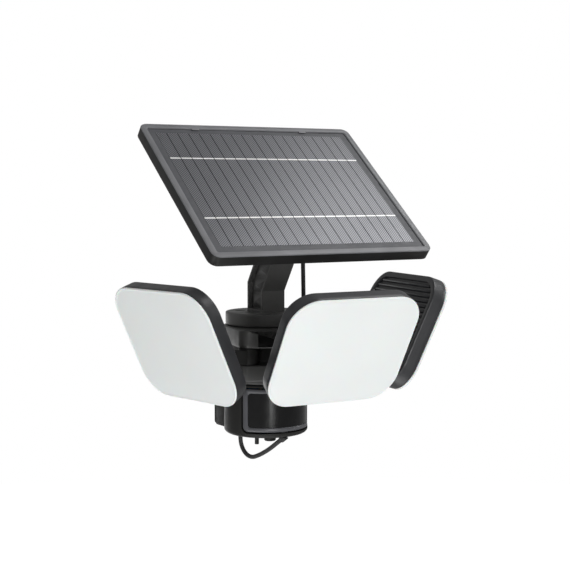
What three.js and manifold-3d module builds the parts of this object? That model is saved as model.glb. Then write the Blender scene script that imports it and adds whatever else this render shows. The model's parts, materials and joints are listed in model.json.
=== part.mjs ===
// Solar flood light: three adjustable lamp heads and a tilting solar panel on a wall-mounted sensor body.
// Millimetres. +Z is up, -Y is the front, and the origin is the middle of the wall plate's back face.
import * as THREE from "three";
import { mergeVertices } from "three/addons/utils/BufferGeometryUtils.js";
import Module from "manifold-3d";

const wasm = await Module();
wasm.setup();

// ---------------------------------------------------------------- driving dimensions

const GAP = 0.3; // clearance between neighbouring pieces
const WALL = 2.4; // moulded wall thickness

// wall plate and rear box
const BOX_HALF_WIDTH = 27.5;
const BOX_TOP = 30;
const BOX_BOTTOM = -51;
const BOX_FRONT = -27;
const PLATE_THICKNESS = 3;
const SLOT_WIDTH = 6;
const SLOT_HEIGHT = 12;
const SLOT_HEIGHTS = [16, -36];

// round body
const AXIS_Y = -51; // the body's vertical axis, forward of the wall
const BODY_RADIUS = 39.6;
const HUB_RADIUS = 40;
const CORE_RADIUS = 34;
const BORE_RADIUS = 31; // open well through the middle of the body
const SENSOR_BOTTOM = -53.5;
const SENSOR_TOP = -3.5;
const LOWER_PLATE = [2.5, 17.2];
const UPPER_PLATE = [32.5, 49.2];
const CAP = [49.5, 61.9];
const CAP_RADIUS = 38;

// head pivots
const PAN_RADIUS = 50; // body axis to pan pin
const PAN_LOBE = 10; // radius of the body's lobe round each pan pin
const SIDE_AZIMUTH = 49.4; // of the two side pan pins, degrees from the front
const ARM_LENGTH = 47.5; // pan pin to tilt pin
const KNUCKLE_RADIUS = 9.3;
const PIN_RADIUS = 3;
const TILT_HEIGHT = 24.5;
const BAY_HALF_WIDTH = 13; // recess in the upper plate between two pan pins
const BAY_RADIUS = 42;
const BAY_HEIGHTS = [33.8, 48.1];
const HEADS = [
  { name: "middle", azimuth: 0, pan: -1.8, tilt: 30.4 },
  { name: "left", azimuth: -SIDE_AZIMUTH, pan: -80.2, tilt: 25.3 },
  { name: "right", azimuth: SIDE_AZIMUTH, pan: 80.4, tilt: 25.4 },
];

// lamp head
const HEAD_WIDTH = 132.3;
const HEAD_HEIGHT = 111.3;
const HEAD_CORNER = 26.5;
const HEAD_RISE = 30; // head centre above the tilt pin
const HEAD_BACK = 12.5; // tilt pin to the back face
const HEAD_FRONT = 25; // tilt pin to the housing's front edge
const LENS_FACE = 27.3;
const HEAD_DRAFT = 2.6; // the back is this much narrower than the front
const RIB_PITCH = 5;
const GROOVE_WIDTH = 2.8;
const GROOVE_DEPTH = 2;
const GROOVE_BORDER = 5.8; // plain edge round the grooves

// sensor window
const WINDOW_ANGLE = 66; // half angle of the opening in the body
const WINDOW_HEIGHTS = [-48, -6.9];
const BEZEL_ANGLE = 65.2;
const PANE_ANGLE = 58.4;

// solar panel
const PANEL_WIDTH = 230;
const PANEL_HEIGHT = 183.6;
const PANEL_THICKNESS = 11.3;
const PANEL_CORNER = 8;
const PANEL_SLOPE = 39.25;
const PANEL_CENTRE = [0, -88, 178.5]; // middle of the top face
const RIM = 6.5;
const HINGE = [-89, 145.5]; // y and z of the panel hinge
const HINGE_RADIUS = 9;

// panel arm
const ARM_HALF_WIDTH = 12.4;
const ARM_FRONT = -64.6;
const ARM_BACK = -38;
const ARM_LEAN = 33;
const ARM_BENDS = [81.5, 89]; // heights of the front and the back bend
const TRUSS_HEIGHTS = [64.3, 124.3]; // foot and head of the facets in the side pockets
const TRUSS_CELLS = 4;
const POCKET_DEPTH = 4.6;
const POCKET_INSET = 2;

// lead
const LEAD_RADIUS = 2.1;
const CLIP_X = 48.2;
const CLIP_Y = -42;
const CLIP_HEIGHTS = [54, 60];

// ---------------------------------------------------------------- materials

const finish = (color, roughness, metalness) => (
  new THREE.MeshStandardMaterial({ color, roughness, metalness })
);
const plastic = (color, roughness = 0.55) => finish(color, roughness, 0);
const metal = (color) => finish(color, 0.35, 1);
const charcoal = plastic(0x2a2b2d);
const frameGrey = plastic(0x55565b, 0.5);
const bezelGrey = plastic(0x6a6b70, 0.45);
const milky = plastic(0xe3e7e5, 0.3);
const darkPane = plastic(0x141518, 0.12);
const laminate = plastic(0x4d4f55, 0.2);
const rubber = plastic(0x1a1a1b, 0.8);
const green = plastic(0x1f5a36, 0.6);
const wrap = plastic(0x2f6f9f, 0.4);
const white = plastic(0xe8e8e4, 0.5);
const steel = metal(0x9a9c9f);

// ---------------------------------------------------------------- solids and booleans

function solid(geometry) {
  const bare = geometry.clone();
  bare.deleteAttribute("normal");
  bare.deleteAttribute("uv");
  const merged = mergeVertices(bare, 1e-4);
  return new wasm.Manifold(new wasm.Mesh({
    numProp: 3,
    vertProperties: new Float32Array(merged.attributes.position.array),
    triVerts: new Uint32Array(merged.index.array),
  }));
}

function geometryOf(manifold) {
  const mesh = manifold.getMesh();
  const geometry = new THREE.BufferGeometry();
  geometry.setAttribute("position", new THREE.BufferAttribute(mesh.vertProperties, 3));
  geometry.setIndex(new THREE.BufferAttribute(mesh.triVerts, 1));
  return geometry;
}

const join = (...geometries) => geometryOf(geometries.map(solid).reduce((whole, next) => whole.add(next)));
const common = (a, b) => geometryOf(solid(a).intersect(solid(b)));

function cut(geometry, ...tools) {
  return geometryOf(tools.map(solid).reduce((rest, tool) => rest.subtract(tool), solid(geometry)));
}

function addPart(parent, name, geometry, material) {
  geometry.computeVertexNormals();
  const mesh = new THREE.Mesh(geometry, material);
  mesh.name = name;
  parent.add(mesh);
}

// ---------------------------------------------------------------- outlines (counter-clockwise)

const rad = THREE.MathUtils.degToRad;

function circle(radius, x = 0, y = 0, segments = 48) {
  return Array.from({ length: segments }, (_, i) => {
    const angle = (2 * Math.PI * i) / segments;
    return new THREE.Vector2(x + radius * Math.cos(angle), y + radius * Math.sin(angle));
  });
}

function roundRect(width, height, radius, x = 0, y = 0, steps = 5) {
  const corners = [[1, 1, 0], [-1, 1, 90], [-1, -1, 180], [1, -1, 270]];
  return corners.flatMap(([sideX, sideY, start]) => Array.from({ length: steps + 1 }, (_, i) => {
    const angle = rad(start + (90 * i) / steps);
    return new THREE.Vector2(
      x + sideX * (width / 2 - radius) + radius * Math.cos(angle),
      y + sideY * (height / 2 - radius) + radius * Math.sin(angle),
    );
  }));
}

// The body's plan: a taut loop round the body circle and the three pan pin lobes, moved in by `inset`.
function hubPlan(inset) {
  const rounds = [{ x: 0, y: AXIS_Y, r: HUB_RADIUS - inset }];
  for (const { azimuth } of HEADS) {
    const [x, y] = panPin(azimuth);
    rounds.push({ x, y, r: PAN_LOBE - inset });
  }
  return circle(1).map((normal) => {
    const reach = (c) => c.x * normal.x + c.y * normal.y + c.r;
    const outer = rounds.reduce((best, next) => (reach(next) > reach(best) ? next : best));
    return new THREE.Vector2(outer.x + outer.r * normal.x, outer.y + outer.r * normal.y);
  });
}

function panPin(azimuth) {
  return [PAN_RADIUS * Math.sin(rad(azimuth)), AXIS_Y - PAN_RADIUS * Math.cos(rad(azimuth))];
}

// A ring sector round the body axis, centred on the front.
function sector(inner, outer, halfAngle, steps = 16) {
  const arc = (radius, from, to) => Array.from({ length: steps + 1 }, (_, i) => {
    const angle = rad(-90 + from + ((to - from) * i) / steps);
    return new THREE.Vector2(radius * Math.cos(angle), AXIS_Y + radius * Math.sin(angle));
  });
  return [...arc(outer, -halfAngle, halfAngle), ...arc(inner, halfAngle, -halfAngle)];
}

// ---------------------------------------------------------------- basic bodies

// A body through outlines with equal point counts, given as [height, outline] from low to high.
function loft(...levels) {
  const count = levels[0][1].length;
  const positions = levels.flatMap(([z, outline]) => outline.flatMap((point) => [point.x, point.y, z]));
  const index = [];
  for (let level = 0; level + 1 < levels.length; level++) {
    for (let i = 0; i < count; i++) {
      const a = level * count + i;
      const b = level * count + ((i + 1) % count);
      index.push(a, b, b + count, a, b + count, a + count);
    }
  }
  const top = (levels.length - 1) * count;
  for (const [a, b, c] of THREE.ShapeUtils.triangulateShape(levels[0][1], [])) {
    index.push(c, b, a);
  }
  for (const [a, b, c] of THREE.ShapeUtils.triangulateShape(levels.at(-1)[1], [])) {
    index.push(top + a, top + b, top + c);
  }
  const geometry = new THREE.BufferGeometry();
  geometry.setAttribute("position", new THREE.Float32BufferAttribute(positions, 3));
  geometry.setIndex(index);
  return geometry;
}

const prism = (outline, low, high) => loft([low, outline], [high, outline]);
const rod = (radius, low, high, x = 0, y = 0, sides = 18) => prism(circle(radius, x, y, sides), low, high);

function box(x, y, z) {
  const geometry = new THREE.BoxGeometry(x[1] - x[0], y[1] - y[0], z[1] - z[0]);
  return geometry.translate((x[0] + x[1]) / 2, (y[0] + y[1]) / 2, (z[0] + z[1]) / 2);
}

// Local z becomes -Y, and local y stays up.
const facingFront = (geometry) => geometry.rotateX(Math.PI / 2);

// Local x, y, z become Y, Z, X.
const acrossX = (geometry) => geometry.applyMatrix4(new THREE.Matrix4().makeBasis(
  new THREE.Vector3(0, 1, 0), new THREE.Vector3(0, 0, 1), new THREE.Vector3(1, 0, 0),
));

function bolt(radius, low, high, headRadius, headHeight) {
  return join(
    rod(radius, low, high, 0, 0, 20),
    rod(headRadius, low - headHeight, low + GAP, 0, 0, 6),
  );
}

function lead(points) {
  const route = new THREE.CatmullRomCurve3(points.map((p) => new THREE.Vector3(...p)), false, "centripetal");
  const section = new THREE.Shape(circle(LEAD_RADIUS, 0, 0, 8));
  const steps = Math.round(route.getLength() / (2 * 2 * LEAD_RADIUS));
  return new THREE.ExtrudeGeometry(section, { steps, extrudePath: route, bevelEnabled: false });
}

// ---------------------------------------------------------------- wall plate and rear box

const LEAD_IN = [21.8, -9.9]; // lead's hole in the top of the rear box
const LEAD_OUT = [-1.8, -5.9]; // end of the lead's notch in its bottom, open to the wall plate
const LEAD_HOLE = LEAD_RADIUS + 0.9;

function wallPlate() {
  const height = BOX_TOP - BOX_BOTTOM;
  const middle = (BOX_TOP + BOX_BOTTOM) / 2;
  const plate = facingFront(prism(roundRect(2 * BOX_HALF_WIDTH, height, 3, 0, middle, 3), 0, PLATE_THICKNESS));
  const slots = SLOT_HEIGHTS.map((z) => facingFront(
    prism(roundRect(SLOT_WIDTH, SLOT_HEIGHT, SLOT_WIDTH / 2 - 0.01, 0, z, 4), -1, PLATE_THICKNESS + 1),
  ));
  return cut(plate, ...slots);
}

function rearBox() {
  const depth = [BOX_FRONT, -PLATE_THICKNESS - GAP];
  const shell = box([-BOX_HALF_WIDTH, BOX_HALF_WIDTH], depth, [BOX_BOTTOM, BOX_TOP]);
  const inner = box(
    [WALL - BOX_HALF_WIDTH, BOX_HALF_WIDTH - WALL],
    [BOX_FRONT + WALL, 0],
    [BOX_BOTTOM + WALL, BOX_TOP - WALL],
  );
  const cavity = cut(inner, prism(circle(HUB_RADIUS + GAP + WALL, 0, AXIS_Y), -80, 80));
  const notch = [LEAD_OUT[0] - LEAD_HOLE, LEAD_OUT[0] + LEAD_HOLE];
  return cut(
    shell,
    prism(circle(HUB_RADIUS + GAP, 0, AXIS_Y), -80, 80),
    cavity,
    rod(LEAD_HOLE, BOX_TOP - 5, BOX_TOP + 5, ...LEAD_IN),
    rod(LEAD_HOLE, BOX_BOTTOM - 5, BOX_BOTTOM + 5, ...LEAD_OUT),
    box(notch, [LEAD_OUT[1], 0], [BOX_BOTTOM - 5, BOX_BOTTOM + 5]),
  );
}

// ---------------------------------------------------------------- round body

function hubLower() {
  const [low, high] = LOWER_PLATE;
  const plate = loft([low, hubPlan(1)], [low + 1, hubPlan(0)],
    [high - 0.8, hubPlan(0)], [high, hubPlan(0.8)]);
  const core = prism(circle(CORE_RADIUS, 0, AXIS_Y), high - 1, UPPER_PLATE[0] - GAP);
  const well = prism(circle(BORE_RADIUS, 0, AXIS_Y), low - 1, UPPER_PLATE[0] + 1);
  const bores = HEADS.flatMap(({ azimuth }) => {
    const [x, y] = panPin(azimuth);
    return [rod(PIN_RADIUS + GAP, low - 1, high + 1, x, y), rod(5.5, low - 1, low + 3.1, x, y)];
  });
  return cut(join(plate, core), well, ...bores);
}

function hubUpper() {
  const [low, high] = UPPER_PLATE;
  const plate = loft([low, hubPlan(1.8)], [low + 1.2, hubPlan(0.5)], [low + 2.6, hubPlan(0)],
    [high - 0.8, hubPlan(0)], [high, hubPlan(0.8)]);
  const well = prism(circle(BORE_RADIUS, 0, AXIS_Y), low - 1, high - WALL);
  const bores = HEADS.map(({ azimuth }) => rod(PIN_RADIUS + GAP, low - 1, high - 1.4, ...panPin(azimuth)));
  const bays = [-1, 1].map((side) => (
    box([-BAY_HALF_WIDTH, BAY_HALF_WIDTH], [-PAN_RADIUS - 20, -BAY_RADIUS], BAY_HEIGHTS)
      .rotateZ(rad((side * SIDE_AZIMUTH) / 2)).translate(0, AXIS_Y, 0)
  ));
  return cut(plate, well, rod(4.3, low, high + 1, 0, AXIS_Y), ...bores, ...bays);
}

function neckGasket() {
  const outer = loft([SENSOR_TOP + GAP, circle(BODY_RADIUS - 0.9, 0, AXIS_Y)],
    [LOWER_PLATE[0] - GAP, circle(HUB_RADIUS - 1.2, 0, AXIS_Y)]);
  return cut(outer, prism(circle(BORE_RADIUS, 0, AXIS_Y), SENSOR_TOP - 1, LOWER_PLATE[0] + 1));
}

const BUTTON = { x: -10, y: AXIS_Y, radius: 2, tip: -64.6 };
const KNOB = { x: 4.6, y: AXIS_Y, radius: 5.6, tip: -62.6 };
const JACK = { x: 0, y: -82.4, radius: 4.2 };

function sensorHousing() {
  const ring = (radius) => circle(radius, 0, AXIS_Y);
  const shell = loft(
    [SENSOR_BOTTOM, ring(BODY_RADIUS - 4.4)],
    [SENSOR_BOTTOM + 1.4, ring(BODY_RADIUS - 1.8)],
    [SENSOR_BOTTOM + 4, ring(BODY_RADIUS)],
    [SENSOR_TOP - 1.2, ring(BODY_RADIUS)],
    [SENSOR_TOP, ring(BODY_RADIUS - 1.2)],
  );
  return cut(
    shell,
    prism(ring(BODY_RADIUS - 2.8), SENSOR_BOTTOM + 3, SENSOR_TOP - WALL),
    prism(ring(BORE_RADIUS), SENSOR_TOP - 5, SENSOR_TOP + 1),
    prism(sector(BODY_RADIUS - 8, BODY_RADIUS + 8, WINDOW_ANGLE), ...WINDOW_HEIGHTS),
    rod(BUTTON.radius + GAP, SENSOR_BOTTOM - 1, SENSOR_BOTTOM + 5, BUTTON.x, BUTTON.y),
    rod(2.8, SENSOR_BOTTOM - 1, SENSOR_BOTTOM + 5, KNOB.x, KNOB.y),
    rod(JACK.radius + GAP, SENSOR_BOTTOM - 1, SENSOR_BOTTOM + 5, JACK.x, JACK.y),
  );
}

function sensorBezel() {
  const [low, high] = WINDOW_HEIGHTS;
  const strip = prism(sector(BODY_RADIUS - 2.4, BODY_RADIUS - 0.3, BEZEL_ANGLE), low + 0.5, high - 0.5);
  return cut(strip, prism(sector(BODY_RADIUS - 6, BODY_RADIUS + 6, PANE_ANGLE + 0.5), low + 4.6, high - 4.6));
}

function sensorPane() {
  const [low, high] = WINDOW_HEIGHTS;
  return prism(sector(BODY_RADIUS - 2.6, BODY_RADIUS - 1, PANE_ANGLE), low + 4.9, high - 4.9);
}

function pirSensor() {
  const can = rod(4.6, 0, 4.2, 0, 0, 24);
  const flange = rod(5.2, -0.8, 0.3, 0, 0, 24);
  return facingFront(join(can, flange)).translate(0, -74.1, -27.5);
}

function controlBoard() {
  const board = box([-20, 20], [-73, -71.4], [-46, 4]);
  const relay = box([6, 18], [-71.5, -64], [-24, -8]);
  const chip = box([-18, -8], [-71.5, -69.8], [-30, -20]);
  return join(board, relay, chip);
}

const CELL_SIDES = [["left", -10.4], ["right", 10.4]];
const CELL_RADIUS = 9.2;
const CELL_HEIGHTS = [-47.5, 17.5];
const CELL_Y = -38;

function batteryHolder() {
  const tray = box([-19, 19], [-46.5, -27], [-49.8, 20]);
  const wells = CELL_SIDES.map(([, x]) => rod(CELL_RADIUS + 0.4, CELL_HEIGHTS[0] - GAP, 25, x, CELL_Y, 28));
  const mouth = box([-25, 25], [-60, CELL_Y - 2], [CELL_HEIGHTS[0] - GAP, 25]);
  return cut(tray, ...wells, mouth);
}

// The button's shaft passes the housing's bottom and carries a collar inside that keeps it in.
function powerButton() {
  return join(
    rod(BUTTON.radius, BUTTON.tip, -47, BUTTON.x, BUTTON.y, 20),
    rod(BUTTON.radius + 1.4, -48, -46.6, BUTTON.x, BUTTON.y, 20),
  );
}

function timeKnob() {
  const grip = loft(
    [KNOB.tip, circle(KNOB.radius - 0.8, KNOB.x, KNOB.y, 24)],
    [KNOB.tip + 0.8, circle(KNOB.radius, KNOB.x, KNOB.y, 24)],
    [SENSOR_BOTTOM - 0.6, circle(KNOB.radius, KNOB.x, KNOB.y, 24)],
  );
  const shaft = rod(2.4, SENSOR_BOTTOM - 1, -47, KNOB.x, KNOB.y, 16);
  const slot = box([KNOB.x - 0.7, KNOB.x + 0.7], [KNOB.y - 4, KNOB.y + 4], [KNOB.tip - 1, KNOB.tip + 1.2]);
  return cut(join(grip, shaft), slot);
}

function dcJack() {
  return cut(
    rod(JACK.radius, SENSOR_BOTTOM + GAP, -43, JACK.x, JACK.y, 24),
    rod(2.8, SENSOR_BOTTOM - 1, -45, JACK.x, JACK.y, 24),
  );
}

const PLUG_EXIT = [0, -79.3, -56.6];
const PLUG_ANGLE = 30; // the moulded boot points back and down by this much

function dcPlug() {
  const under = SENSOR_BOTTOM - GAP;
  const tip = rod(2.4, under - 1, -47, JACK.x, JACK.y, 20);
  const flange = rod(3.6, under - 1.6, under, JACK.x, JACK.y, 24);
  const boot = rod(LEAD_RADIUS + 1, 0, 8, 0, 0, 16).rotateX(rad(90 - PLUG_ANGLE)).translate(...PLUG_EXIT);
  return join(tip, flange, common(boot, box([-9, 9], [-95, -60], [-75, under])));
}

function swivelPin() {
  return join(
    rod(4, UPPER_PLATE[1] - 3, 54, 0, AXIS_Y, 24),
    rod(7, UPPER_PLATE[1] - 6.2, UPPER_PLATE[1] - WALL - GAP, 0, AXIS_Y, 6),
  );
}

// ---------------------------------------------------------------- lamp heads

function panArm() {
  const knuckle = rod(KNUCKLE_RADIUS, LOWER_PLATE[1] + GAP, UPPER_PLATE[0] - GAP, 0, 0, 32);
  const bar = box([-6.4, 6.4], [-ARM_LENGTH + 5, -5], [TILT_HEIGHT - 6.4, TILT_HEIGHT + 6.4]);
  const barrel = acrossX(rod(8, -9.4, 9.4, 0, 0, 28)).translate(0, -ARM_LENGTH, TILT_HEIGHT);
  const pinBore = rod(PIN_RADIUS + GAP, 0, 50);
  const tiltBore = acrossX(rod(2.8, -12, 12, 0, 0, 20)).translate(0, -ARM_LENGTH, TILT_HEIGHT);
  return cut(join(knuckle, bar, barrel), pinBore, tiltBore);
}

function panPinBolt() {
  const low = LOWER_PLATE[0] + 2.8;
  return bolt(PIN_RADIUS, low, UPPER_PLATE[1] - 2, 5, 2.4);
}

function tiltPinBolt() {
  const nut = rod(4.4, 15.1, 17.6, 0, 0, 6);
  return acrossX(join(bolt(2.5, -15.1, 16, 4.4, 2.5), nut)).translate(0, -ARM_LENGTH, TILT_HEIGHT);
}

const headOutline = (inset, corner = HEAD_CORNER) => roundRect(
  HEAD_WIDTH - 2 * inset, HEAD_HEIGHT - 2 * inset, Math.max(corner - inset, 2), 0, HEAD_RISE,
);

function ventGrooves() {
  const field = prism(headOutline(HEAD_DRAFT / 2 + GROOVE_BORDER), HEAD_BACK - 1, HEAD_BACK + GROOVE_DEPTH);
  const rows = Math.floor((HEAD_HEIGHT - HEAD_DRAFT - 2 * GROOVE_BORDER) / RIB_PITCH);
  const slots = Array.from({ length: rows }, (_, row) => {
    const y = HEAD_RISE + (row - (rows - 1) / 2) * RIB_PITCH;
    return box([-HEAD_WIDTH, HEAD_WIDTH], [y - GROOVE_WIDTH / 2, y + GROOVE_WIDTH / 2], [HEAD_BACK - 2, 20]);
  });
  const bridge = box([-19, 19], [-12, 12], [HEAD_BACK - 3, 25]);
  return cut(common(field, join(...slots)), bridge);
}

function headHousing() {
  const back = HEAD_DRAFT / 2;
  const shell = loft(
    [HEAD_BACK, headOutline(back + 1.6)],
    [HEAD_BACK + 0.5, headOutline(back + 0.6)],
    [HEAD_BACK + 1.6, headOutline(back)],
    [HEAD_FRONT, headOutline(0)],
  );
  const tray = prism(headOutline(3), HEAD_BACK + 4.2, HEAD_FRONT + 1);
  const ears = [-1, 1].map((side) => {
    const low = side < 0 ? -14.6 : 9.8;
    const eye = rod(8, low, low + 4.8, 0, 0, 24);
    const web = box([0, HEAD_BACK + 1], [-8, 8], [low, low + 4.8]);
    return acrossX(join(eye, web)).rotateZ(Math.PI);
  });
  const bore = acrossX(rod(2.8, -20, 20, 0, 0, 20));
  return cut(join(facingFront(cut(shell, tray, ventGrooves())), ...ears), bore);
}

function diffuserLens() {
  return facingFront(loft(
    [HEAD_FRONT + GAP, headOutline(0.2)],
    [LENS_FACE - 1, headOutline(0)],
    [LENS_FACE - 0.3, headOutline(0.3)],
    [LENS_FACE, headOutline(1.1)],
    [LENS_FACE + 0.5, headOutline(7)],
    [LENS_FACE + 0.9, headOutline(18)],
  ));
}

function ledBoard() {
  const low = HEAD_BACK + 4.6;
  const board = prism(headOutline(5), low, low + 1.6);
  const chips = [];
  for (let row = -1; row <= 1; row++) {
    for (let column = -1.5; column <= 1.5; column++) {
      const x = column * 26;
      const y = HEAD_RISE + row * 28;
      chips.push(box([x - 2.5, x + 2.5], [y - 2.5, y + 2.5], [low + 1, low + 2.8]));
    }
  }
  return facingFront(join(board, ...chips));
}

function lampHead({ name, azimuth, pan, tilt }) {
  const turn = new THREE.Group();
  turn.position.set(...panPin(azimuth), 0);
  addPart(turn, `${name}_pan_pin`, panPinBolt(), steel);
  const swing = new THREE.Group();
  swing.rotation.z = rad(pan);
  addPart(swing, `${name}_head_arm`, panArm(), charcoal);
  addPart(swing, `${name}_tilt_pin`, tiltPinBolt(), steel);
  const nod = new THREE.Group();
  nod.position.set(0, -ARM_LENGTH, TILT_HEIGHT);
  nod.rotation.x = rad(tilt);
  addPart(nod, `${name}_head_housing`, headHousing(), charcoal);
  addPart(nod, `${name}_diffuser_lens`, diffuserLens(), milky);
  addPart(nod, `${name}_led_board`, ledBoard(), white);
  swing.add(nod);
  turn.add(swing);
  return turn;
}

// ---------------------------------------------------------------- panel cap and arm

function panelCap() {
  const [low, high] = CAP;
  const ring = (radius) => circle(radius, 0, AXIS_Y);
  const drum = loft([low, ring(CAP_RADIUS - 1)], [low + 1.2, ring(CAP_RADIUS)],
    [high - 0.8, ring(CAP_RADIUS)], [high, ring(CAP_RADIUS - 0.8)]);
  const socket = box(
    [-ARM_HALF_WIDTH - GAP, ARM_HALF_WIDTH + GAP],
    [ARM_FRONT - GAP, ARM_BACK + GAP],
    [56, high + 1],
  );
  const drain = prism(roundRect(10, 5, 2.4, -20, -37, 4), high - 4, high + 1);
  return cut(drum, socket, drain, rod(4.3, low - 1, 54.3, 0, AXIS_Y));
}

// The arm's front and back edges at a height, as y. Both lean forward above their bends.
const lean = Math.tan(rad(ARM_LEAN));
const armFront = (z, inset = 0) => ARM_FRONT + inset - Math.max(0, z - ARM_BENDS[0]) * lean;
const armBack = (z, inset = 0) => ARM_BACK - inset - Math.max(0, z - ARM_BENDS[1]) * lean;

// Side view of the arm as [y, z]: it rises from the cap, bends forward and narrows to the hinge barrel.
function armOutline(inset = 0) {
  const shoulder = HINGE[1] - 24;
  const foot = inset ? TRUSS_HEIGHTS[0] : 56 + GAP;
  return [
    [armFront(foot, inset), foot],
    [armBack(foot, inset), foot],
    [armBack(ARM_BENDS[1], inset), ARM_BENDS[1]],
    [armBack(shoulder + 10, inset), shoulder + 10 - inset],
    [HINGE[0] + 6 - inset, HINGE[1] + 5 - 3 * inset],
    [HINGE[0] - 7 + inset, HINGE[1] + 1 - 3 * inset],
    [armFront(shoulder, inset), shoulder - inset],
    [armFront(ARM_BENDS[0], inset), ARM_BENDS[0]],
  ].map(([y, z]) => new THREE.Vector2(y, z));
}

// Four-sided pyramids, one above the other, that rise from a pocket's floor nearly to the arm's face.
function trussFacets(side) {
  const floor = side * (ARM_HALF_WIDTH - POCKET_DEPTH - 0.5);
  const peak = side * (ARM_HALF_WIDTH - 0.6);
  const step = (TRUSS_HEIGHTS[1] - TRUSS_HEIGHTS[0]) / TRUSS_CELLS;
  return Array.from({ length: TRUSS_CELLS }, (_, cell) => {
    const low = TRUSS_HEIGHTS[0] + cell * step;
    const high = low + step;
    const base = [
      new THREE.Vector2(armFront(low, POCKET_INSET), low),
      new THREE.Vector2(armBack(low, POCKET_INSET), low),
      new THREE.Vector2(armBack(high, POCKET_INSET), high),
      new THREE.Vector2(armFront(high, POCKET_INSET), high),
    ];
    const centre = base.reduce((sum, corner) => sum.add(corner), new THREE.Vector2()).divideScalar(4);
    const tip = base.map((corner) => centre.clone().lerp(corner, 0.03));
    return side > 0 ? loft([floor, base], [peak, tip]) : loft([peak, tip], [floor, base]);
  });
}

function panelArm() {
  const width = [-ARM_HALF_WIDTH, ARM_HALF_WIDTH];
  const post = join(prism(armOutline(), ...width), rod(HINGE_RADIUS, ...width, ...HINGE, 32));
  const pockets = [-1, 1].map((side) => {
    const span = side < 0 ? [width[0] - 1, width[0] + POCKET_DEPTH] : [width[1] - POCKET_DEPTH, width[1] + 1];
    return cut(prism(armOutline(POCKET_INSET), ...span), ...trussFacets(side));
  });
  return acrossX(cut(post, ...pockets, rod(PIN_RADIUS + GAP, -20, 20, ...HINGE)));
}

// ---------------------------------------------------------------- panel hinge hardware

const EAR = [13, 17];

function hingeBolt() {
  return acrossX(bolt(PIN_RADIUS, -EAR[1] - GAP, EAR[1] + 11, 6, 4)).translate(0, ...HINGE);
}

function hingeKnob() {
  const lobes = Array.from({ length: 5 }, (_, i) => {
    const angle = (2 * Math.PI * i) / 5;
    return rod(3.4, EAR[1] + GAP, EAR[1] + 9, 6.6 * Math.cos(angle), 6.6 * Math.sin(angle), 16);
  });
  const hub = rod(7.4, EAR[1] + GAP, EAR[1] + 9, 0, 0, 24);
  const bore = rod(PIN_RADIUS + GAP, EAR[1] - 1, EAR[1] + 12, 0, 0, 20);
  return acrossX(cut(join(hub, ...lobes), bore)).translate(0, ...HINGE);
}

// ---------------------------------------------------------------- solar panel (local z is the face normal)

const slope = rad(PANEL_SLOPE);
const hingeOffset = [HINGE[0] - PANEL_CENTRE[1], HINGE[1] - PANEL_CENTRE[2]];
const HINGE_LOCAL = [
  hingeOffset[0] * Math.cos(slope) + hingeOffset[1] * Math.sin(slope),
  hingeOffset[1] * Math.cos(slope) - hingeOffset[0] * Math.sin(slope),
];
const LAMINATE_TOP = -1;
const LAMINATE_THICKNESS = 3;

function panelFrame() {
  const outline = (inset) => roundRect(
    PANEL_WIDTH - 2 * inset, PANEL_HEIGHT - 2 * inset, Math.max(PANEL_CORNER - inset, 1.5),
  );
  const tray = loft(
    [-PANEL_THICKNESS, outline(0.8)],
    [-PANEL_THICKNESS + 0.8, outline(0)],
    [-0.7, outline(0)],
    [0, outline(0.7)],
  );
  const seat = LAMINATE_TOP - LAMINATE_THICKNESS - GAP;
  const recess = loft([seat, outline(RIM)], [LAMINATE_TOP, outline(RIM)], [0.5, outline(RIM - 0.9)]);
  const hollow = prism(outline(RIM + 5), -PANEL_THICKNESS + WALL, seat + 1);
  const tabs = [-59, 59].map((x) => {
    const y = PANEL_HEIGHT / 2 - RIM;
    return box([x - 4, x + 4], [y - 1.7, y + 1], [LAMINATE_TOP + GAP, -0.2]);
  });
  const underside = [-PANEL_THICKNESS - 1.6, -9.5];
  const ribs = [-75, -45, 45, 75].map((x) => box([x - 0.9, x + 0.9], [-86, 86], underside));
  return join(cut(tray, recess, hollow), ...tabs, ...ribs);
}

function solarLaminate() {
  const inset = RIM + GAP;
  const outline = roundRect(PANEL_WIDTH - 2 * inset, PANEL_HEIGHT - 2 * inset, 1.5);
  return prism(outline, LAMINATE_TOP - LAMINATE_THICKNESS, LAMINATE_TOP);
}

function panelBracket() {
  const back = -PANEL_THICKNESS - GAP;
  const [y, z] = HINGE_LOCAL;
  const plate = prism(roundRect(52, 46, 4, 0, y), back - 3, back);
  const ears = [-EAR[1], EAR[0]].map((low) => {
    const eye = rod(HINGE_RADIUS, low, low + 4, y, z, 28);
    const web = box([y - 9, y + 9], [z, back - 1], [low, low + 4]);
    return acrossX(join(eye, web));
  });
  const bore = acrossX(rod(PIN_RADIUS + GAP, -30, 30, y, z, 20));
  return cut(join(plate, ...ears), bore);
}

const JUNCTION = { x: 60, y: 36, width: 44, height: 34, depth: 10 };

function junctionBox() {
  const top = -PANEL_THICKNESS - GAP;
  const outline = (inset) => roundRect(
    JUNCTION.width - 2 * inset, JUNCTION.height - 2 * inset, 3, JUNCTION.x - 1, JUNCTION.y, 3,
  );
  const shell = loft([top - JUNCTION.depth, outline(1.6)], [top - JUNCTION.depth + 1.2, outline(0.4)],
    [top, outline(0)]);
  const ribs = [45, 75].map((x) => box([x - 1.3, x + 1.3], [0, 86], [top - 1.8, top + 1]));
  return cut(shell, ...ribs);
}

const GLAND = { low: 8, radius: 4.4 };

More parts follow.
